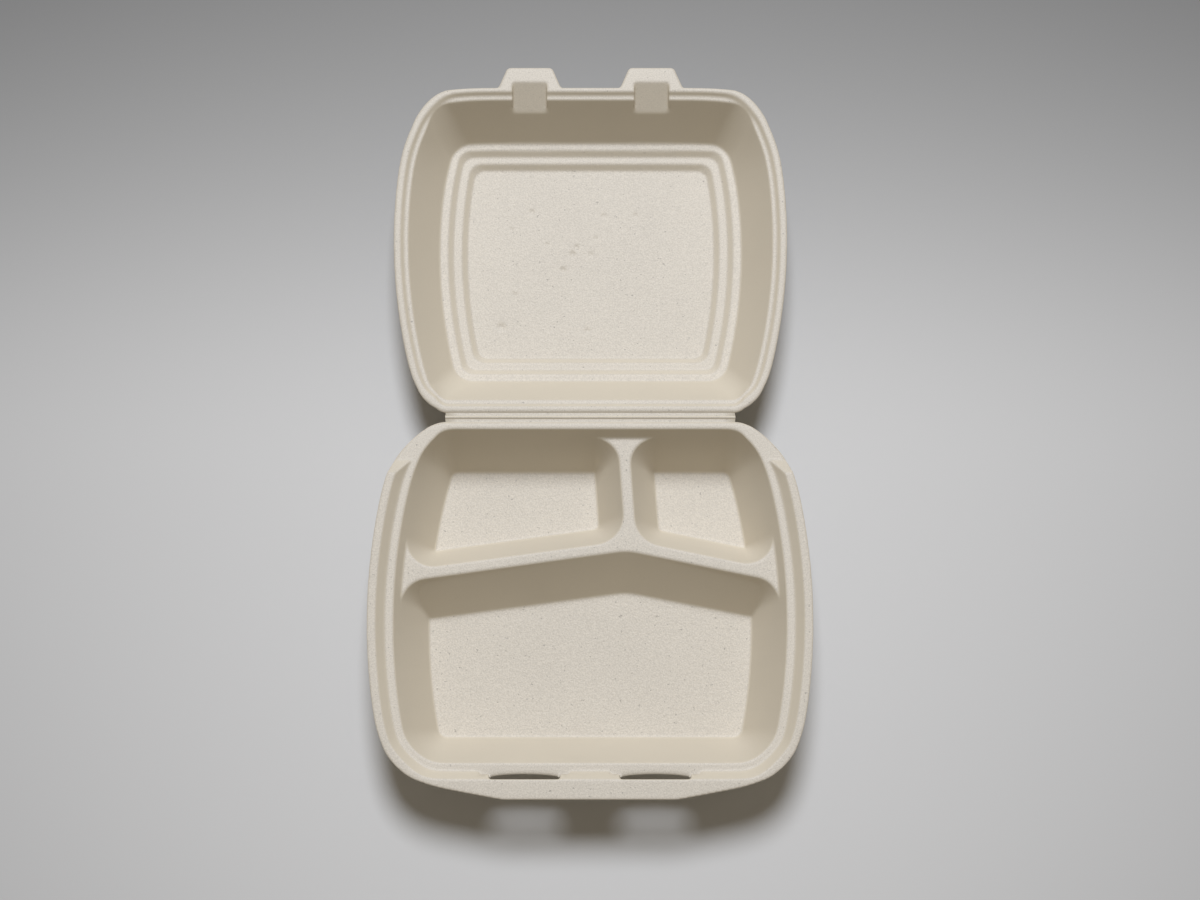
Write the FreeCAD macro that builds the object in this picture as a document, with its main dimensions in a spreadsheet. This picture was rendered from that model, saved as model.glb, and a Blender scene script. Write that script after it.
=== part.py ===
import FreeCAD, Part
import math
import os
import Sketcher

V = FreeCAD.Vector

# Sizes in millimetres. Reaches are measured from the fold line beside each half.
SIZES = [
    ("sheet", 2.2),
    ("skin", 1.3),
    ("riser_skin", 1.1),
    ("hinge_sheet", 1.4),
    ("hinge_gap", 0.1),
    ("hinge_half", 71.4),
    ("strip_width", 3.2),
    ("rim_height", 34),
    ("belly", 95),
    ("lid_half", 98.6),
    ("lid_reach", 171),
    ("lid_curve", 290),
    ("lid_gap", 0.4),
    ("lid_hinge_corner", 14),
    ("lid_front_corner", 20),
    ("rim_width", 3.4),
    ("rim_step_run", 1.6),
    ("rim_step", 2),
    ("shelf_width", 2.1),
    ("lid_wall_run", 14.2),
    ("hinge_rim", 4),
    ("hinge_wall_run", 15.8),
    ("front_rim", 2.2),
    ("panel_step", 2.4),
    ("panel_side_ledge", 4.2),
    ("panel_end_ledge", 3.8),
    ("panel_step_run", 2.8),
    ("panel_corner", 6),
    ("tab_spacing", 31),
    ("tab_root_half", 15.8),
    ("tab_tip_half", 11.4),
    ("tab_reach", 10.8),
    ("tab_corner", 2.5),
    ("tab_flat", 7.8),
    ("ramp_half", 8.7),
    ("ramp_run", 22),
    ("ramp_drop", 15.8),
    ("slot_gap", 1.3),
    ("slot_sill", 0.2),
    ("slot_room", 0.5),
    ("ledge_width", 4),
    ("riser_run", 4.1),
    ("lip_rise", 5.2),
    ("side_lip", 4.1),
    ("front_lip", 9.6),
    ("lip_straight", 41.4),
    ("lip_shoulder", 4),
    ("lip_hinge_corner", 26),
    ("lip_front_corner", 20),
    ("ledge_corner", 18),
    ("ramp_start", 18.5),
    ("ramp_end", 27),
    ("hinge_ledge", 4.2),
    ("wall_run", 15.1),
    ("front_room_corner", 20),
    ("bow_corner", 16),
    ("hinge_room_corner", 19),
    ("divider_corner", 18),
    ("divider_end_corner", 16),
    ("lid_wall_corner", 11),
    ("ramp_skin", 2.7),
    ("tab_flare", 0.3),
    ("lip_bend", 30),
    ("slot_end", 1),
    ("slot_round", 0.6),
    ("slot_taper", 0.8),
    ("ramp_shift", 1),
    ("divider_drop", 6.5),
    ("divider_apex", 18),
    ("divider_line", 60.7),
    ("divider_bow", 15.8),
    ("divider_bend", 30),
    ("divider_lean", 2),
    ("divider_overlap", 0.4),
    ("bow_overlap", 0.8),
    ("bow_run", 20.9),
    ("bow_shift", 1.2),
    ("beyond", 5),
    ("overlap", 1),
]

sizes = dict(SIZES)


def value(words):
    """Add up a sum of size names such as 'lid_reach + sheet'."""
    total = 0.0
    sign = 1.0
    for word in words.split():
        if word in "+-":
            sign = 1.0 if word == "+" else -1.0
        else:
            total += sign * (sizes[word] if word in sizes else float(word))
            sign = 1.0
    return total


def bound(words):
    """The same sum as an expression on the sheet."""
    return " ".join("Sizes." + word if word in sizes else word for word in words.split())


def minus(words):
    """Turn the sign of every term of a sum."""
    turned = []
    if words.split()[0] not in "+-":
        words = "+ " + words
    for word in words.split():
        turned.append({"+": "-", "-": "+"}.get(word, word))
    return " ".join(turned)


def make_sheet(doc):
    sheet = doc.addObject("Spreadsheet::Sheet", "Sizes")
    for row, (name, number) in enumerate(SIZES, start=1):
        sheet.set("A%d" % row, name)
        sheet.set("B%d" % row, str(number))
        sheet.setAlias("B%d" % row, name)
    doc.recompute()
    return sheet


def new_sketch(body, name, role, height=None):
    sketch = body.newObject("Sketcher::SketchObject", name)
    plane = [f for f in body.Origin.OriginFeatures if f.Role == role][0]
    sketch.AttachmentSupport = [(plane, "")]
    sketch.MapMode = "FlatFace"
    if height:
        sketch.AttachmentOffset = FreeCAD.Placement(V(0, 0, value(height)), FreeCAD.Rotation())
        sketch.setExpression(".AttachmentOffset.Base.z", bound(height))
    return sketch


def hold(sketch, kind, geo, pos, words):
    """Fix one coordinate of a point, or a radius, to a sum of sizes."""
    if kind == "Radius":
        constraint = Sketcher.Constraint(kind, geo, value(words))
    else:
        constraint = Sketcher.Constraint(kind, -1, 1, geo, pos, value(words))
    index = sketch.addConstraint(constraint)
    sketch.setExpression("Constraints[%d]" % index, bound(words))


def rounded(before, corner, after, radius):
    """Centre and tangent points of the arc that rounds a corner between two segments.

    A segment is a unit direction for a line, or (centre, radius) for a side arc.
    """
    sides = []
    for segment in (before, after):
        if isinstance(segment, tuple):
            sides.append((segment[0], segment[1] - radius))
        else:
            sides.append((corner + V(-segment.y, segment.x, 0) * radius, segment))
    lines = [s for s in sides if not isinstance(s[1], float)]
    rounds = [s for s in sides if isinstance(s[1], float)]
    origin, along = lines[0]
    if len(lines) == 2:
        other, across = lines[1]
        turn = along.x * across.y - along.y * across.x
        gap = other - origin
        center = origin + along * ((gap.x * across.y - gap.y * across.x) / turn)
    else:
        middle, reach = rounds[0]
        gap = origin - middle
        half = gap.dot(along)
        root = math.sqrt(half ** 2 - gap.dot(gap) + reach ** 2)
        options = [origin + along * (-half + root), origin + along * (-half - root)]
        center = min(options, key=lambda p: p.distanceToPoint(corner))
    touches = []
    for segment in (before, after):
        if isinstance(segment, tuple):
            out = center - segment[0]
            touches.append(segment[0] + out * (segment[1] / out.Length))
        else:
            touches.append(corner + segment * (center - corner).dot(segment))
    return center, touches[0], touches[1]


def draw(sketch, corners, arcs=None):
    """Closed outline round the corners, anticlockwise.

    A corner is (x, y, radius) in sums of sizes; x is None where it lies on a side arc.
    arcs maps a segment's number to (side, half width, radius, belly).
    """
    arcs = arcs or {}
    count = len(corners)
    circles = {}
    for number, (side, half, radius, belly) in arcs.items():
        center_x = half + " " + minus(radius)
        if side < 0:
            center_x = minus(center_x)
        circles[number] = (side, center_x, belly, radius)
    points = []
    for index, (x, y, radius) in enumerate(corners):
        if x is None:
            side, center_x, belly, curve = circles.get(index) or circles[(index - 1) % count]
            rise = value(y) - value(belly)
            points.append(V(value(center_x) + side * math.sqrt(value(curve) ** 2 - rise ** 2), value(y), 0))
        else:
            points.append(V(value(x), value(y), 0))
    segments = []
    for index in range(count):
        if index in circles:
            side, center_x, belly, curve = circles[index]
            segments.append((V(value(center_x), value(belly), 0), float(value(curve))))
        else:
            segments.append((points[(index + 1) % count] - points[index]).normalize())
    turns = []
    for index in range(count):
        if corners[index][2]:
            radius = value(corners[index][2])
            turns.append(rounded(segments[index - 1], points[index], segments[index], radius))
        else:
            turns.append((None, points[index], points[index]))
    up = V(0, 0, 1)

    def arc(center, radius, start, end):
        angles = [math.atan2(p.y - center.y, p.x - center.x) for p in (start, end)]
        if angles[1] < angles[0]:
            angles[1] += 2 * math.pi
        return Part.ArcOfCircle(Part.Circle(center, up, radius), angles[0], angles[1])

    edges = []
    corner_edges = {}
    side_edges = {}
    for index in range(count):
        center, first, last = turns[index]
        if center:
            corner_edges[index] = len(edges)
            edges.append(arc(center, value(corners[index][2]), first, last))
        start, end = last, turns[(index + 1) % count][1]
        side_edges[index] = len(edges)
        if index in circles:
            edges.append(arc(segments[index][0], segments[index][1], start, end))
        else:
            edges.append(Part.LineSegment(start, end))
    sketch.addGeometry(edges)
    for number in range(len(edges)):
        following = (number + 1) % len(edges)
        smooth = number in corner_edges.values() or following in corner_edges.values()
        kind = "Tangent" if smooth else "Coincident"
        sketch.addConstraint(Sketcher.Constraint(kind, number, 2, following, 1))
    for index, (x, y, radius) in enumerate(corners):
        if index in corner_edges:
            hold(sketch, "Radius", corner_edges[index], 0, radius)
            point = sketch.addGeometry(Part.Point(points[index]), True)
            for side in ((index - 1) % count, index):
                sketch.addConstraint(Sketcher.Constraint("PointOnObject", point, 1, side_edges[side]))
        else:
            point = side_edges[index]
        if x is not None:
            hold(sketch, "DistanceX", point, 1, x)
        hold(sketch, "DistanceY", point, 1, y)
    for index, (side, center_x, belly, radius) in circles.items():
        hold(sketch, "DistanceX", side_edges[index], 3, center_x)
        hold(sketch, "DistanceY", side_edges[index], 3, belly)
        hold(sketch, "Radius", side_edges[index], 0, radius)
    return sketch


def loft(body, name, rings):
    """Ruled loft through rings of (height, corners, arcs), from the foot upwards."""
    sketches = []
    for number, (height, corners, arcs) in enumerate(rings):
        sketch = new_sketch(body, "%s ring %d" % (name, number + 1), "XY_Plane", height)
        draw(sketch, corners, arcs)
        sketches.append(sketch)
    body.Document.recompute()
    feature = body.newObject("PartDesign::AdditiveLoft", name + " loft")
    feature.Profile = sketches[0]
    feature.Sections = sketches[1:]
    feature.Ruled = True
    return feature


def grown(words, amount, sign="+"):
    return words + (" %s %s" % (sign, amount) if amount else "")


def four_sided(height, half, curve, back, front, belly, corners):
    """Ring with two bowed sides; corners gives the radii at the front and at the back."""
    at_front, at_back = corners
    points = [(None, front, at_front), (None, front, at_front), (None, back, at_back), (None, back, at_back)]
    return height, points, {1: (1, half, curve, belly), 3: (-1, half, curve, belly)}


def front_room(grow):
    """Outline at the rim of the wide room along the front."""
    half = grown("lid_half + lid_gap - ledge_width", grow)
    front = grown("- lid_reach - lid_gap + ledge_width", grow, "-")
    line = grown("- divider_line", grow)
    end = line + " - divider_bow"
    turn = grown("bow_corner", grow)
    front_turn = grown("front_room_corner", grow)
    corners = [(None, front, front_turn), (None, front, front_turn), (None, end, turn),
               ("divider_apex", line, grown("divider_bend", grow)), (None, end, turn)]
    curve = grown("lid_curve", grow)
    return corners, {1: (1, half, curve, "- belly"), 4: (-1, half, curve, "- belly")}


def bow_slope(grow):
    """Rings of the space before the bowed divider, whose front face leans further than the walls."""
    drop = " - sheet" if grow else ""
    rings = []
    for height, line in (("0" if grow else "sheet", "- divider_line + bow_shift - bow_run"),
                         ("rim_height" + drop, "- divider_line + bow_shift")):
        line = grown(line, grow)
        end = line + " - divider_bow"
        front = "- lid_reach - lid_half"
        corners = [("- lid_half", front, None), ("lid_half", front, None), ("lid_half", end, None),
                   ("divider_apex", line, "divider_bend"), ("- lid_half", end, None)]
        rings.append((height, corners, None))
    return rings


def back_room(side, grow):
    """Outline at the rim of a room at the back: side is -1 for the left one and 1 for the right one."""
    half = grown("lid_half + lid_gap - ledge_width", grow)
    curve = grown("lid_curve", grow)
    back = grown("- hinge_ledge", grow)
    far = grown("- divider_line - bow_overlap", grow, "-")
    sign = "+" if side < 0 else "-"
    edge = grown("divider_apex %s divider_overlap" % sign, grow, sign)
    inner = (edge + " + divider_lean", far, grown("divider_corner", grow))
    outer = (None, far + " - divider_bow", grown("bow_corner", grow))
    behind = (edge + " - divider_lean", back, grown("divider_end_corner", grow))
    hinge = (None, back, grown("hinge_room_corner", grow))
    if side < 0:
        return [outer, inner, behind, hinge], {3: (-1, half, curve, "- belly")}
    return [inner, outer, hinge, behind], {1: (1, half, curve, "- belly")}


def basin(grow):
    """Outline at the rim of the space above the dividers."""
    half = grown("lid_half + lid_gap - ledge_width", grow)
    front = grown("- lid_reach - lid_gap + ledge_width", grow, "-")
    back = grown("- hinge_ledge", grow)
    corners = (grown("front_room_corner", grow), grown("hinge_room_corner", grow))
    return four_sided("", half, grown("lid_curve", grow), back, front, "- belly", corners)[1:]


def new_body(doc, name):
    return doc.addObject("PartDesign::Body", name)


def lofted(doc, name, rings):
    body = new_body(doc, name)
    loft(body, name, rings)
    return body


def drafted(doc, name, outline, grow, depth):
    """Outline at the rim, or under it for the outer form, sunk with the walls leaning in evenly."""
    body = new_body(doc, name)
    sketch = new_sketch(body, name + " outline", "XY_Plane", "rim_height" + (" - sheet" if grow else ""))
    draw(sketch, *outline)
    pad = body.newObject("PartDesign::Pad", name + " pad")
    pad.Profile = sketch
    pad.Reversed = True
    pad.Length = value(depth)
    pad.setExpression("Length", bound(depth))
    pad.TaperAngle = -math.degrees(math.atan(value("wall_run") / value("rim_height - sheet")))
    pad.setExpression("TaperAngle", "-atan(Sizes.wall_run / (Sizes.rim_height - Sizes.sheet))")
    doc.recompute()
    return body


def tray_rooms(doc, grow):
    """The three rooms and the basin above their dividers, as hollows or as outer forms."""
    kind = "outside" if grow else "inside"
    depth = "rim_height - sheet"
    front = drafted(doc, "front room " + kind, front_room(grow), grow, depth)
    slope = lofted(doc, "bow slope " + kind, bow_slope(grow))
    return [common(doc, "sloped front room " + kind, [front, slope]),
            drafted(doc, "left room " + kind, back_room(-1, grow), grow, depth),
            drafted(doc, "right room " + kind, back_room(1, grow), grow, depth),
            drafted(doc, "basin " + kind, basin(grow), grow, "divider_drop")]


def pad_profile(body, name, corners, half_width):
    """Side profile in the YZ plane, drawn out to both sides."""
    sketch = draw(new_sketch(body, name + " profile", "YZ_Plane"), corners)
    pad = body.newObject("PartDesign::Pad", name)
    pad.Profile = sketch
    pad.Midplane = True
    pad.Length = 2 * value(half_width)
    pad.setExpression("Length", "2 * (" + bound(half_width) + ")")
    body.Document.recompute()
    return pad


def cut_profile(body, name, corners):
    sketch = draw(new_sketch(body, name + " profile", "YZ_Plane"), corners)
    pocket = body.newObject("PartDesign::Pocket", name)
    pocket.Profile = sketch
    pocket.Midplane = True
    pocket.Type = "ThroughAll"
    body.Document.recompute()
    return pocket


def fuse(doc, name, shapes):
    joined = doc.addObject("Part::MultiFuse", name)
    joined.Shapes = shapes
    doc.recompute()
    return joined


def difference(doc, name, base, tool):
    cut = doc.addObject("Part::Cut", name)
    cut.Base = base
    cut.Tool = tool
    cut.Refine = True
    doc.recompute()
    return cut


def common(doc, name, shapes):
    both = doc.addObject("Part::MultiCommon", name)
    both.Shapes = shapes
    doc.recompute()
    return both


def tray_plan():
    """Corners of the tray's outline: bowed sides, a straight lip and its slanting shoulders."""
    half = "lid_half + lid_gap + riser_run + side_lip"
    return [
        ("- lip_straight", "- lid_reach - lid_gap - riser_run - front_lip", "lip_bend"),
        ("lip_straight", "- lid_reach - lid_gap - riser_run - front_lip", "lip_bend"),
        (None, "- lid_reach - lip_shoulder", "lip_front_corner"),
        (None, "- hinge_gap", "lip_hinge_corner"),
        (None, "- hinge_gap", "lip_hinge_corner"),
        (None, "- lid_reach - lip_shoulder", "lip_front_corner"),
    ], {2: (1, half, "lid_curve + riser_run + side_lip", "- belly"),
        4: (-1, half, "lid_curve + riser_run + side_lip", "- belly")}


def riser(grow):
    """Rings of the sloped step between the ledge and the raised lip."""
    half = grown("lid_half + lid_gap", grow)
    front = grown("- lid_reach - lid_gap", grow, "-")
    back = "- hinge_gap" if grow else "strip_width"
    corners = (grown("ledge_corner + riser_run", grow), grown("lid_hinge_corner", grow))
    lower = "rim_height" + (" - sheet" if grow else "")
    upper = "rim_height + lip_rise" + (" - sheet" if grow else "")
    rings = [
        four_sided(lower, half, grown("lid_curve + lid_gap", grow), back, front, "- belly", corners),
        four_sided(upper, half + " + riser_run", grown("lid_curve + lid_gap + riser_run", grow), back,
                   front + " - riser_run", "- belly", corners),
    ]
    return rings


def pad_plan(body, name, height, corners, length, arcs=None):
    """Outline in a level plane, drawn upwards."""
    sketch = draw(new_sketch(body, name + " plan", "XY_Plane", height), corners, arcs)
    pad = body.newObject("PartDesign::Pad", name)
    pad.Profile = sketch
    pad.Length = value(length)
    pad.setExpression("Length", bound(length))
    body.Document.recompute()
    return pad


def slot_body(doc, name, side):
    """Opening in the riser for one latch tab, with room for the tab under the lip."""
    body = new_body(doc, name)
    middle = "tab_spacing" if side > 0 else "- tab_spacing"
    inner = "- lid_reach - lid_gap - slot_sill"
    outer = "- lid_reach - lid_gap - riser_run"
    left = middle + " - tab_root_half - slot_gap"
    right = middle + " + tab_root_half + slot_gap"
    base = "rim_height - sheet - sheet"
    pad_plan(body, name + " mouth", base, [
        (left, outer, "slot_end"), (right, outer, "slot_end"),
        (right + " - slot_taper", inner, "slot_round"), (left + " + slot_taper", inner, "slot_round"),
    ], "lip_rise + sheet + sheet + sheet")
    pad_plan(body, name + " under the lip", base, [
        (left, outer + " - riser_skin - slot_room", None), (right, outer + " - riser_skin - slot_room", None),
        (right, outer + " + slot_room", None), (left, outer + " + slot_room", None),
    ], "lip_rise + sheet")
    return body


def make_tray(doc):
    """Three rooms in one formed sheet, with a ledge that the lid sits in and a raised lip round it."""
    top = "rim_height + lip_rise"
    front = "- lid_reach - lid_gap - riser_run - front_lip - beyond"
    near = "- hinge_gap"
    plate = new_body(doc, "tray lip sheet")
    pad_profile(plate, "bent lip", [
        (front, top + " - sheet", None),
        ("- ramp_end + ramp_shift", top + " - sheet", None),
        ("- ramp_start + ramp_shift", "rim_height - sheet", None),
        ("- hinge_ledge + skin - overlap", "rim_height - sheet", None),
        ("- hinge_ledge + skin", "rim_height - hinge_sheet", None),
        (near, "rim_height - hinge_sheet", None),
        (near + " - hinge_sheet", "rim_height", None),
        ("- ramp_start", "rim_height", None),
        ("- ramp_end", top, None),
        (front, top, None),
    ], "lid_half + lid_gap + riser_run + side_lip + beyond")
    prism = new_body(doc, "tray outline")
    sketch = new_sketch(prism, "tray plan", "XY_Plane")
    draw(sketch, *tray_plan())
    pad = prism.newObject("PartDesign::Pad", "tray prism")
    pad.Profile = sketch
    pad.Length = value(top + " + beyond")
    pad.setExpression("Length", bound(top + " + beyond"))
    doc.recompute()
    step = lofted(doc, "riser outside", riser("riser_skin"))
    cut_profile(step, "above the ramp", [
        ("- ramp_start", "rim_height", None),
        ("strip_width", "rim_height", None),
        ("strip_width", top + " + beyond", None),
        ("- ramp_end", top + " + beyond", None),
        ("- ramp_end", top, None),
    ])
    cut_profile(step, "under the hinge", [
        ("- hinge_ledge + skin - overlap", "rim_height - sheet", None),
        ("- hinge_ledge + skin - overlap", "rim_height - sheet - beyond", None),
        ("strip_width", "rim_height - sheet - beyond", None),
        ("strip_width", "rim_height - hinge_sheet", None),
        ("- hinge_ledge + skin", "rim_height - hinge_sheet", None),
    ])
    cut_profile(step, "hinge edge", [
        (near, "rim_height - hinge_sheet", None),
        ("strip_width", "rim_height - hinge_sheet", None),
        ("strip_width", "rim_height + overlap", None),
        (near + " - hinge_sheet - overlap", "rim_height + overlap", None),
    ])
    lip = common(doc, "tray lip", [plate, prism])
    outside = [lip, step] + tray_rooms(doc, "skin")
    hollows = [lofted(doc, "riser inside", riser(""))] + tray_rooms(doc, "")
    hollows.append(slot_body(doc, "left slot", -1))
    hollows.append(slot_body(doc, "right slot", 1))
    return difference(doc, "tray", fuse(doc, "tray outside", outside), fuse(doc, "tray hollows", hollows))


def lid_levels(grow):
    """Ring pairs of the lid from its rim down to the panel: step, wall and two shallow steps."""
    drop = " - sheet" if grow else ""
    half = grown("lid_half - rim_width", grow)
    curve = grown("lid_curve - rim_width", grow)
    near = grown("strip_width + hinge_rim", grow, "-")
    far = grown("strip_width + lid_reach - front_rim", grow)
    belly = "strip_width + belly"

    def ring(height, inset_side, inset_near, inset_far, curve, corners):
        return four_sided(height + drop, half + inset_side, curve, far + inset_far, near + inset_near, belly,
                          [grown(c, grow) for c in corners])

    run = " - rim_step_run"
    run_in = " + rim_step_run"
    rim_corners = ("lid_hinge_corner", "lid_front_corner")
    rim = [ring("rim_height - rim_step", run, run_in, run, curve + run, rim_corners),
           ring("rim_height", "", "", "", curve, rim_corners)]
    side, near_in, far_in = run + " - shelf_width", run_in + " + shelf_width", run + " - shelf_width"
    pairs = [rim]
    wall_corners = ("lid_wall_corner", "lid_wall_corner")
    upper = ring("rim_height - rim_step", side, near_in, far_in, curve + side, wall_corners)
    side += " - lid_wall_run"
    near_in += " + hinge_wall_run"
    far_in += " - lid_wall_run"
    pairs.append([ring("panel_step + panel_step + sheet", side, near_in, far_in, curve + side, wall_corners),
                  upper])
    for count, height in ((1, "panel_step + sheet"), (0, "sheet")):
        side += " - panel_side_ledge"
        near_in += " + panel_end_ledge"
        far_in += " - panel_end_ledge"
        corners = ("panel_corner", "panel_corner")
        upper = ring(height + " + panel_step", side, near_in, far_in, curve + side, corners)
        side += " - panel_step_run"
        near_in += " + panel_step_run"
        far_in += " - panel_step_run"
        pairs.append([ring(height, side, near_in, far_in, curve + side, corners), upper])
    return pairs


def ramp_body(doc, name, side, grow):
    """Sloped channel from a latch tab down the lid's far wall: its hollow, or its outer form."""
    body = new_body(doc, name)
    start = "strip_width + lid_reach + tab_reach - tab_flat"
    foot = start + " - ramp_run"
    if grow:
        profile = [(foot, "rim_height - ramp_drop - ramp_skin", None),
                   (start, "rim_height - ramp_skin", None),
                   (start + " + skin", "rim_height - sheet", None),
                   (start + " + skin", "rim_height", None), (foot, "rim_height", None)]
    else:
        profile = [(foot, "rim_height - ramp_drop", None), (start, "rim_height", None),
                   (start, "rim_height + overlap", None), (foot, "rim_height + overlap", None)]
    pad_profile(body, name + " pad", profile, grown("ramp_half", grow))
    body.Placement = FreeCAD.Placement(V(side * value("tab_spacing"), 0, 0), FreeCAD.Rotation())
    body.setExpression(".Placement.Base.x", ("" if side > 0 else "-") + "Sizes.tab_spacing")
    return body


def make_lid(doc):
    """Shallow lid with a stepped panel, a stepped rim and two latch tabs, lying open rim upwards."""
    plate = new_body(doc, "lid rim sheet")
    ring = four_sided("rim_height - sheet", "lid_half", "lid_curve", "strip_width + lid_reach",
                      "strip_width + hinge_gap", "strip_width + belly",
                      ("lid_hinge_corner", "lid_front_corner"))
    pad_plan(plate, "rim plate", ring[0], ring[1], "sheet", ring[2])
    for word, middle in (("left", "- tab_spacing"), ("right", "tab_spacing")):
        root = "strip_width + lid_reach - overlap"
        tip = "strip_width + lid_reach + tab_reach"
        pad_plan(plate, word + " tab", "rim_height - sheet", [
            (middle + " - tab_root_half - tab_flare", root, None),
            (middle + " + tab_root_half + tab_flare", root, None),
            (middle + " + tab_root_half", "strip_width + lid_reach + tab_flare", None),
            (middle + " + tab_tip_half", tip, "tab_corner"),
            (middle + " - tab_tip_half", tip, "tab_corner"),
            (middle + " - tab_root_half", "strip_width + lid_reach + tab_flare", None),
        ], "sheet")
    near = "strip_width + hinge_gap"
    cut_profile(plate, "lid hinge edge", [
        ("0", "rim_height - hinge_sheet", None),
        (near, "rim_height - hinge_sheet", None),
        (near + " + hinge_sheet + overlap", "rim_height + overlap", None),
        ("0", "rim_height + overlap", None),
    ])
    cut_profile(plate, "under the lid hinge", [
        ("0", "rim_height - hinge_sheet", None),
        ("0", "rim_height - sheet - overlap", None),
        ("strip_width + hinge_rim - skin - overlap", "rim_height - sheet - overlap", None),
        ("strip_width + hinge_rim - skin - overlap", "rim_height - hinge_sheet", None),
    ])
    outside = [plate]
    for word, pair in zip(("rim", "wall", "outer step", "inner step"), lid_levels("skin")):
        outside.append(lofted(doc, "lid %s outside" % word, pair))
    hollows = []
    for word, pair in zip(("rim", "wall", "outer step", "inner step"), lid_levels("")):
        hollows.append(lofted(doc, "lid %s inside" % word, pair))
    for word, side in (("left", -1), ("right", 1)):
        outside.append(ramp_body(doc, word + " channel outside", side, "skin"))
        hollows.append(ramp_body(doc, word + " channel", side, ""))
    return difference(doc, "lid", fuse(doc, "lid outside", outside), fuse(doc, "lid hollows", hollows))


def make_strip(doc):
    """Narrow spine between the two folds, bevelled so that each fold closes to a right angle."""
    body = new_body(doc, "hinge_strip")
    pad_profile(body, "spine", [
        ("hinge_gap", "rim_height - hinge_sheet", None),
        ("strip_width - hinge_gap", "rim_height - hinge_sheet", None),
        ("strip_width - hinge_gap - hinge_sheet", "rim_height", None),
        ("hinge_gap + hinge_sheet", "rim_height", None),
    ], "hinge_half")
    return body


def place(part):
    """Centre the open container front to back."""
    total = "lid_gap + riser_run + front_lip - strip_width - tab_reach"
    part.Placement = FreeCAD.Placement(V(0, value(total) / 2, 0), FreeCAD.Rotation())
    part.setExpression(".Placement.Base.y", "(" + bound(total) + ") / 2")


def main():
    doc = FreeCAD.newDocument("clamshell_container")
    make_sheet(doc)
    parts = [make_tray(doc), make_strip(doc), make_lid(doc)]
    for part in parts:
        place(part)
    doc.recompute()
    for item in doc.Objects:
        if "Invalid" in item.State or "Error" in item.State:
            raise RuntimeError("%s failed to build" % item.Label)
    for part in parts:
        if part.Shape.isNull() or not part.Shape.isValid() or len(part.Shape.Solids) != 1:
            raise RuntimeError("%s is not one sound solid" % part.Label)
    os.makedirs("parts", exist_ok=True)
    for part in parts:
        part.Shape.exportStep("parts/%s.step" % part.Label)
        box = part.Shape.BoundBox
        print(part.Label, "%.1f x %.1f x %.1f mm, %.1f cm3" % (
            box.XLength, box.YLength, box.ZLength, part.Shape.Volume / 1000))


main()
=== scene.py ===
import math

import bmesh
import bpy
import numpy as np
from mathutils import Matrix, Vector


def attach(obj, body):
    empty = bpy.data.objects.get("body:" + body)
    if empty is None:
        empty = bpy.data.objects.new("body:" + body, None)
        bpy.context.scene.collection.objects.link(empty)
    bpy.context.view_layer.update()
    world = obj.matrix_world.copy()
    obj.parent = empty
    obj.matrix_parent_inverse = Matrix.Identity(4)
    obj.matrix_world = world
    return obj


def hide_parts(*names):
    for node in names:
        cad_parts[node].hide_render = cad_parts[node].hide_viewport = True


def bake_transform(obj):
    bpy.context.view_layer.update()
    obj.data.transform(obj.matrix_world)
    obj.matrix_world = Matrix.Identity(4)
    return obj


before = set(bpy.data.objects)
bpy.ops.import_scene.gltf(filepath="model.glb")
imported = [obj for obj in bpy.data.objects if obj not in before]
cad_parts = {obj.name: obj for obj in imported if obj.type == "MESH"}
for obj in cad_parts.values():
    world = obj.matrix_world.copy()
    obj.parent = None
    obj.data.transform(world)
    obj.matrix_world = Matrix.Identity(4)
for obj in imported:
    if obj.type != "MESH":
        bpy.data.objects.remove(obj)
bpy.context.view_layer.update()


# The view.
# The container lies open and is seen from above the tray's lip, about 13 degrees off plumb.
elevation = 77.13
camera_data = bpy.data.cameras.new("view_from_lip")
camera_data.sensor_fit = "HORIZONTAL"
camera_data.sensor_width = 36.0
camera_data.lens = 67.94
camera = bpy.data.objects.new("view_from_lip", camera_data)
camera.location = (0.00478, -0.26209, 1.11587)
camera.rotation_euler = (math.radians(90.0 - elevation), 0.0, 0.0)
bpy.context.collection.objects.link(camera)
scene = bpy.context.scene
scene.camera = camera
scene.view_settings.view_transform = "Standard"


# Paper sheet.
# The pale sheet's colour is painted brightest around the tray and darker towards the far corners: a
# painted pool of lamp light.
def joined(tree, kind, first, second=None, **settings):
    node = tree.nodes.new(kind)
    for name, value in settings.items():
        setattr(node, name, value)
    for socket, source in zip(node.inputs, (first, second)):
        if isinstance(source, (int, float, tuple)):
            socket.default_value = source
        elif source is not None:
            tree.links.new(source, socket)
    return node.outputs[0]


floor_size = 6.0
floor_mesh = bpy.data.meshes.new("paper_floor")
floor_mesh.from_pydata(
    [(-floor_size, -floor_size, 0.0), (floor_size, -floor_size, 0.0),
     (floor_size, floor_size, 0.0), (-floor_size, floor_size, 0.0)], [], [(0, 1, 2, 3)])
floor = bpy.data.objects.new("paper_floor", floor_mesh)
bpy.context.collection.objects.link(floor)
floor_paper = bpy.data.materials.new("pale_paper")
floor_paper.use_nodes = True
paper = floor_paper.node_tree
paper_shader = paper.nodes["Principled BSDF"]
spot = paper.nodes.new("ShaderNodeSeparateXYZ")
paper.links.new(paper.nodes.new("ShaderNodeTexCoord").outputs["Object"], spot.inputs["Vector"])


# Painted light falloff: the paper's colour darkens away from a middle line.
def painted_light_falloff(source, middle, fall, side, darkest=0.3):
    away = joined(paper, "ShaderNodeMath", source, middle, operation="SUBTRACT")
    if side:
        away = joined(paper, "ShaderNodeMath", away, 0.0, operation=side)
    square = joined(paper, "ShaderNodeMath", away, away, operation="MULTIPLY")
    scaled = joined(paper, "ShaderNodeMath", square, fall, operation="MULTIPLY")
    whole = joined(paper, "ShaderNodeMath", scaled, 1.0, operation="ADD")
    left = joined(paper, "ShaderNodeMath", 1.0, whole, operation="DIVIDE")
    return joined(paper, "ShaderNodeMath", left, darkest, operation="MAXIMUM")


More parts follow.
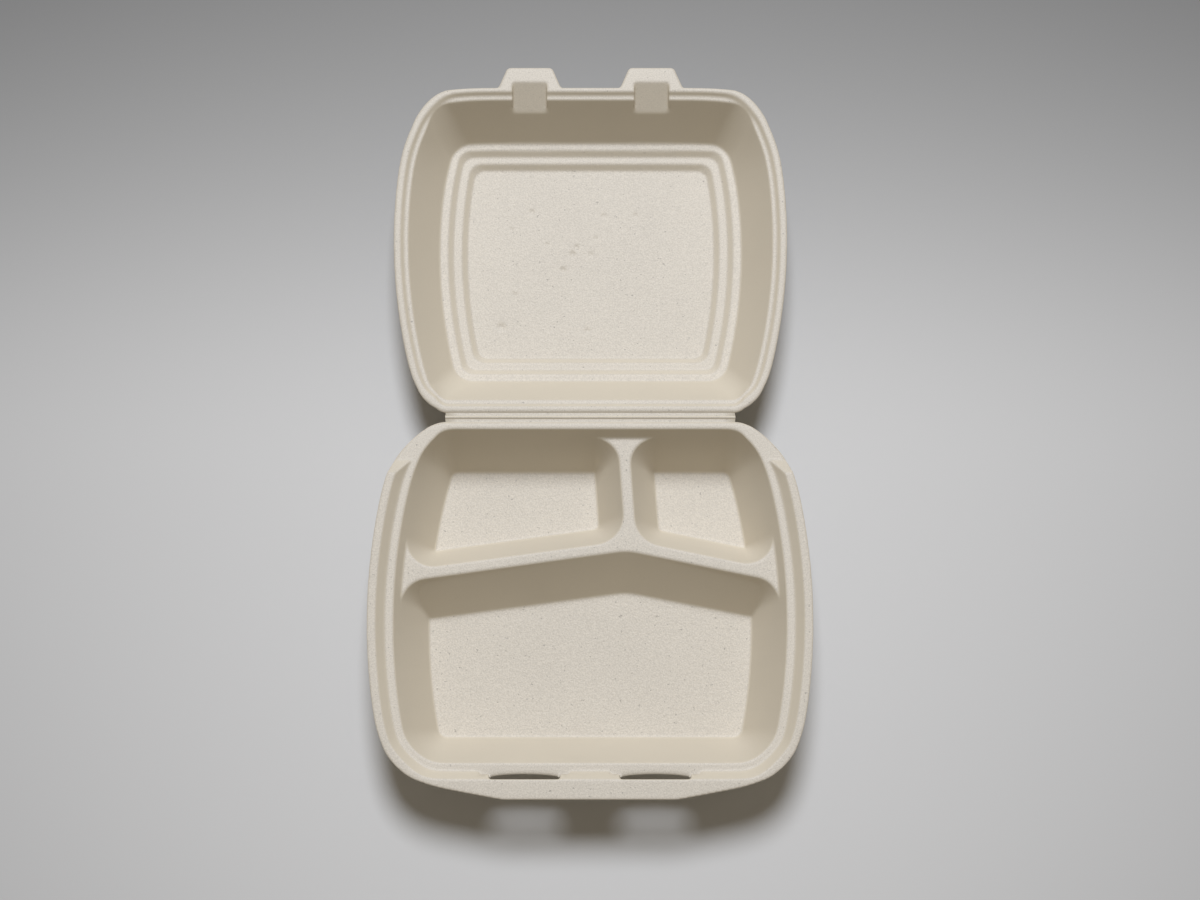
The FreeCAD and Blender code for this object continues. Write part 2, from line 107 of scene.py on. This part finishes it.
paper_tone = 0.645
across = painted_light_falloff(spot.outputs["X"], middle=0.01, fall=2.8, side=None)
far = painted_light_falloff(spot.outputs["Y"], middle=-0.02, fall=21.0, side="MAXIMUM")
near = painted_light_falloff(spot.outputs["Y"], middle=-0.02, fall=1.8, side="MINIMUM")
# The paper's base colour carries a painted pool of light, brightest near the tray.
painted_light_pool = joined(paper, "ShaderNodeMath", across, far, operation="MULTIPLY")
painted_light_pool = joined(paper, "ShaderNodeMath", painted_light_pool, near, operation="MULTIPLY")
painted_light_pool = joined(paper, "ShaderNodeMath", painted_light_pool, paper_tone, operation="MULTIPLY")
paper.links.new(painted_light_pool, paper_shader.inputs["Base Color"])
paper_shader.inputs["Roughness"].default_value = 0.9
floor_mesh.materials.append(floor_paper)


# Light.
# One soft lamp stands behind the lid, 27 degrees from overhead, and throws the lip's shadow towards
# the viewer. The rest is weak warm light from all around, which the walls that face the viewer get.
lamp_data = bpy.data.lights.new("window_behind", "AREA")
lamp_data.shape = "ELLIPSE"
lamp_data.size = 1.8
lamp_data.size_y = 2.0
lamp_data.energy = 224.0
lamp_data.color = (0.95, 0.98, 1.04)
lamp = bpy.data.objects.new("window_behind", lamp_data)
lamp.location = (0.0, 2.27, 4.455)
lamp.rotation_euler = Vector(lamp.location).to_track_quat("Z", "Y").to_euler()
bpy.context.collection.objects.link(lamp)
world = bpy.data.worlds.new("room")
world.use_nodes = True
background = world.node_tree.nodes["Background"]
background.inputs["Color"].default_value = (1.0, 0.87, 0.67, 1.0)
background.inputs["Strength"].default_value = 0.215
scene.world = world


# Pressed polystyrene foam.
# The skin is an even warm white. Flat faces keep a fine grain with a few dark bits, and the walls,
# where the hot sheet was stretched, are smooth. The walls are painted a warmer, slightly brighter
# tone than the flat faces: painted light and shade for how the walls are lit, not a second foam
# colour.
foam = bpy.data.materials.new("speckled_foam")
foam.use_nodes = True
tree = foam.node_tree
shader = tree.nodes["Principled BSDF"]
coordinates = tree.nodes.new("ShaderNodeTexCoord")


def noise(scale, detail):
    texture = tree.nodes.new("ShaderNodeTexNoise")
    texture.inputs["Scale"].default_value = scale
    texture.inputs["Detail"].default_value = detail
    tree.links.new(coordinates.outputs["Object"], texture.inputs["Vector"])
    return texture.outputs["Fac"]


def between(source, low, high, first, last):
    node = tree.nodes.new("ShaderNodeMapRange")
    tree.links.new(source, node.inputs["Value"])
    for name, value in (("From Min", low), ("From Max", high), ("To Min", first), ("To Max", last)):
        node.inputs[name].default_value = value
    return node.outputs["Result"]


facing = tree.nodes.new("ShaderNodeSeparateXYZ")
tree.links.new(coordinates.outputs["Normal"], facing.inputs["Vector"])
upright = joined(tree, "ShaderNodeMath", facing.outputs["Z"], operation="ABSOLUTE")
flat = between(upright, low=0.7, high=0.97, first=0.1, last=1.0)
beads = between(noise(scale=1500.0, detail=2.0), low=0.38, high=0.62, first=-0.12, last=0.04)
bits = between(noise(scale=700.0, detail=1.0), low=0.72, high=0.77, first=0.0, last=-0.34)
cloud = between(noise(scale=25.0, detail=2.0), low=0.3, high=0.7, first=-0.015, last=0.015)
speckle = joined(tree, "ShaderNodeMath", beads, bits, operation="ADD")
speckle = joined(tree, "ShaderNodeMath", speckle, flat, operation="MULTIPLY")
speckle = joined(tree, "ShaderNodeMath", speckle, cloud, operation="ADD")
tone = joined(tree, "ShaderNodeMath", speckle, 1.0, operation="ADD")
# Painted light and shade: steep walls get a warmer, brighter copy of the foam colour, mixed in by
# steepness.
wall_painted_light_colour = (0.66, 0.60, 0.492, 1.0)
flat_colour = (0.615, 0.567, 0.488, 1.0)
colour_a, colour_b, colour_result = 6, 7, 2
painted_wall_light_mix = tree.nodes.new("ShaderNodeMix")
painted_wall_light_mix.data_type = "RGBA"
tree.links.new(flat, painted_wall_light_mix.inputs["Factor"])
painted_wall_light_mix.inputs[colour_a].default_value = wall_painted_light_colour
painted_wall_light_mix.inputs[colour_b].default_value = flat_colour
skin = joined(tree, "ShaderNodeVectorMath", painted_wall_light_mix.outputs[colour_result], operation="SCALE")
tree.links.new(tone, skin.node.inputs["Scale"])
tree.links.new(skin, shader.inputs["Base Color"])
shader.inputs["Roughness"].default_value = 0.5
bump = tree.nodes.new("ShaderNodeBump")
bump.inputs["Distance"].default_value = 0.0003
tree.links.new(noise(scale=1100.0, detail=3.0), bump.inputs["Height"])
grain = between(flat, low=0.0, high=1.0, first=0.0, last=0.45)
tree.links.new(grain, bump.inputs["Strength"])
tree.links.new(bump.outputs["Normal"], shader.inputs["Normal"])


# Pressed sheet.
# Hot tools leave no sharp edge, so each form is made even and relaxed. Corners are drawn in, slots
# narrowed and dents pressed before the faces are thinned out.
def applied(piece):
    graph = bpy.context.evaluated_depsgraph_get()
    mesh = bpy.data.meshes.new_from_object(piece.evaluated_get(graph))
    piece.modifiers.clear()
    piece.data = mesh
    return mesh


def draw_in(points, corners, fade=0.006):
    for x, y, degrees, pull, thick, wide, start in corners:
        angle = math.radians(degrees)
        inward = (-math.cos(angle), math.sin(angle))
        over = np.abs(points[:, 0]) - x
        beyond = points[:, 1] - y
        deep = over * inward[0] + beyond * inward[1]
        aside = over * inward[1] - beyond * inward[0]
        weight = pull * np.exp(-(deep / thick) ** 2 / 2.0 - (aside / wide) ** 2 / 2.0)
        weight *= np.clip((np.abs(points[:, 0]) - start) / fade, 0.0, 1.0)
        points[:, 0] += np.sign(points[:, 0]) * inward[0] * weight
        points[:, 1] += inward[1] * weight


def narrow(points, slots):
    end_opening, more_in_middle = 0.12, 0.58
    end_limit, end_fade = 1.25, 0.2
    top_limit, top_fade = 0.0358, 0.0012
    back_limit, back_fade = 0.0065, 0.0025
    slot_depth = 0.0040
    for x, y, half in slots:
        along = np.abs(points[:, 0] - x) / half
        opening = end_opening + more_in_middle * np.sqrt(np.clip(1.0 - along ** 2, 0.0, 1.0))
        behind = points[:, 1] - y
        weight = np.clip((end_limit - along) / end_fade, 0.0, 1.0)
        weight *= np.clip((top_limit - points[:, 2]) / top_fade, 0.0, 1.0)
        weight *= np.clip((back_limit - behind) / back_fade, 0.0, 1.0) * (behind > 0.0)
        points[:, 1] -= np.minimum(behind, slot_depth) * (1.0 - opening) * weight


def dent(points, upward, dents):
    for x, y, spread, depth in dents:
        away = (points[:, 0] - x) ** 2 + (points[:, 1] - y) ** 2
        points[:, 2] -= depth * np.exp(-away / (2.0 * spread ** 2)) * upward


def pressed(node, body, cell, triangles, corners=(), slots=(), dents=(), soft_spots=()):
    same_point, sliver = 0.00002, 0.00001
    relax_passes, soft_passes = 3, 14
    upward_gain = 2.0
    mesh = bpy.data.objects[node].data.copy()
    mesh.materials.clear()
    form = bmesh.new()
    form.from_mesh(mesh)
    bmesh.ops.remove_doubles(form, verts=form.verts, dist=same_point)
    bmesh.ops.dissolve_degenerate(form, edges=form.edges, dist=sliver)
    form.to_mesh(mesh)
    form.free()
    piece = bpy.data.objects.new("pressed_" + node, mesh)
    bpy.context.collection.objects.link(piece)
    even = piece.modifiers.new("even_cells", "REMESH")
    even.mode = "VOXEL"
    even.voxel_size = cell
    relaxed = piece.modifiers.new("relaxed_edges", "SMOOTH")
    relaxed.factor = 0.5
    relaxed.iterations = relax_passes
    mesh = applied(piece)
    points = np.empty(len(mesh.vertices) * 3)
    mesh.vertices.foreach_get("co", points)
    points = points.reshape(-1, 3)
    normals = np.empty(len(mesh.vertices) * 3)
    mesh.vertices.foreach_get("normal", normals)
    upward = np.clip(normals.reshape(-1, 3)[:, 2] * upward_gain, 0.0, 1.0)
    draw_in(points, corners)
    narrow(points, slots)
    dent(points, upward, dents)
    mesh.vertices.foreach_set("co", points.ravel())
    mesh.update()
    if soft_spots:
        spots = piece.vertex_groups.new(name="soft_spots")
        for x, y, half_x, half_y in soft_spots:
            near_x = np.abs(points[:, 0] - x) < half_x
            near_y = np.abs(points[:, 1] - y) < half_y
            spots.add(np.nonzero(near_x & near_y)[0].tolist(), 1.0, "REPLACE")
        softer = piece.modifiers.new("softer_spots", "SMOOTH")
        softer.factor = 0.5
        softer.iterations = soft_passes
        softer.vertex_group = "soft_spots"
    thinned = piece.modifiers.new("fewer_faces", "DECIMATE")
    present = sum(len(face.vertices) - 2 for face in mesh.polygons)
    thinned.ratio = min(1.0, triangles / present)
    mesh = applied(piece)
    mesh.materials.clear()
    mesh.materials.append(foam)
    mesh.shade_smooth()
    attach(piece, body)
    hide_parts(node)


# Tray.
# Three rooms share one sheet with a ledge and a raised lip. The ledge's edge comes forward under
# each slot and leaves a lens-shaped opening. Each corner: x, y, angle, pull, depth, width, start.
pressed(
    "tray", "tray", cell=0.0006, triangles=160000,
    corners=[(0.0905, -0.008, -45.0, 0.0036, 0.008, 0.012, 0.0714),
             (0.094, -0.172, 45.0, 0.0034, 0.008, 0.012, 0.0)],
    slots=[(-0.031, -0.1754, 0.0178), (0.031, -0.1754, 0.0178)])


# Spine.
# The narrow strip between the two creases is thinner than the rest of the sheet.
pressed("hinge_strip", "spine", cell=0.0003, triangles=12000)


# Lid.
# A shallow hollow with a raised panel and two tabs. The feet of the ramps behind the tabs are soft,
# and the panel has a few small dents. Each dent: x, y, spread, depth.
pressed(
    "lid", "lid", cell=0.0006, triangles=150000,
    corners=[(0.0895, 0.1655, -45.0, 0.0044, 0.015, 0.013, 0.0),
             (0.0815, 0.0065, 50.0, 0.0028, 0.007, 0.010, 0.0714)],
    dents=[(-0.0304, 0.1187, 0.0007, 0.0004), (-0.0407, 0.1091, 0.0006, 0.0003),
           (-0.0225, 0.1011, 0.0006, 0.0003), (-0.0072, 0.0996, 0.0007, 0.0004),
           (-0.0093, 0.0959, 0.0009, 0.0005), (0.0004, 0.0956, 0.0009, 0.0003),
           (-0.0141, 0.0875, 0.0008, 0.0005), (0.0068, 0.1164, 0.0008, 0.0003),
           (0.0230, 0.1166, 0.0008, 0.0003), (0.0026, 0.1043, 0.0006, 0.0003),
           (-0.0387, 0.0758, 0.0007, -0.0003), (-0.0457, 0.0569, 0.0012, 0.0005),
           (-0.0018, 0.0549, 0.0009, 0.0003)],
    soft_spots=[(-0.031, 0.158, 0.0115, 0.0085), (0.031, 0.158, 0.0115, 0.0085)])


# Creases.
# The foam is crushed to a thin skin along both creases, where the real box bends as it is shut.
# Each skin runs from the pressed edge on one side into the spine on the other.
def crease(name, middle):
    half_length, reach, steps = 0.0712, 0.0011, 24
    low, high = 0.0327, 0.0333
    rounding, web = 0.0001, 0.0004
    rows = [(-reach, high - rounding), (-reach * 0.5, high), (0.0, low + web),
            (reach * 0.5, high), (reach, high - rounding),
            (reach, low), (0.0, low), (-reach, low)]
    form = bmesh.new()
    rings = []
    for step in range(steps + 1):
        x = half_length * (2.0 * step / steps - 1.0)
        rings.append([form.verts.new((x, middle + y, z)) for y, z in rows])
    for ring, following in zip(rings, rings[1:]):
        for index in range(len(rows)):
            after = (index + 1) % len(rows)
            form.faces.new((ring[index], following[index], following[after], ring[after]))
    form.faces.new(list(reversed(rings[0])))
    form.faces.new(rings[-1])
    bmesh.ops.recalc_face_normals(form, faces=form.faces)
    mesh = bpy.data.meshes.new(name)
    form.to_mesh(mesh)
    form.free()
    mesh.materials.append(foam)
    mesh.shade_smooth()
    skin_piece = bpy.data.objects.new(name, mesh)
    bpy.context.collection.objects.link(skin_piece)
    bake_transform(skin_piece)


crease("tray_crease", 0.00005)
crease("lid_crease", 0.00325)
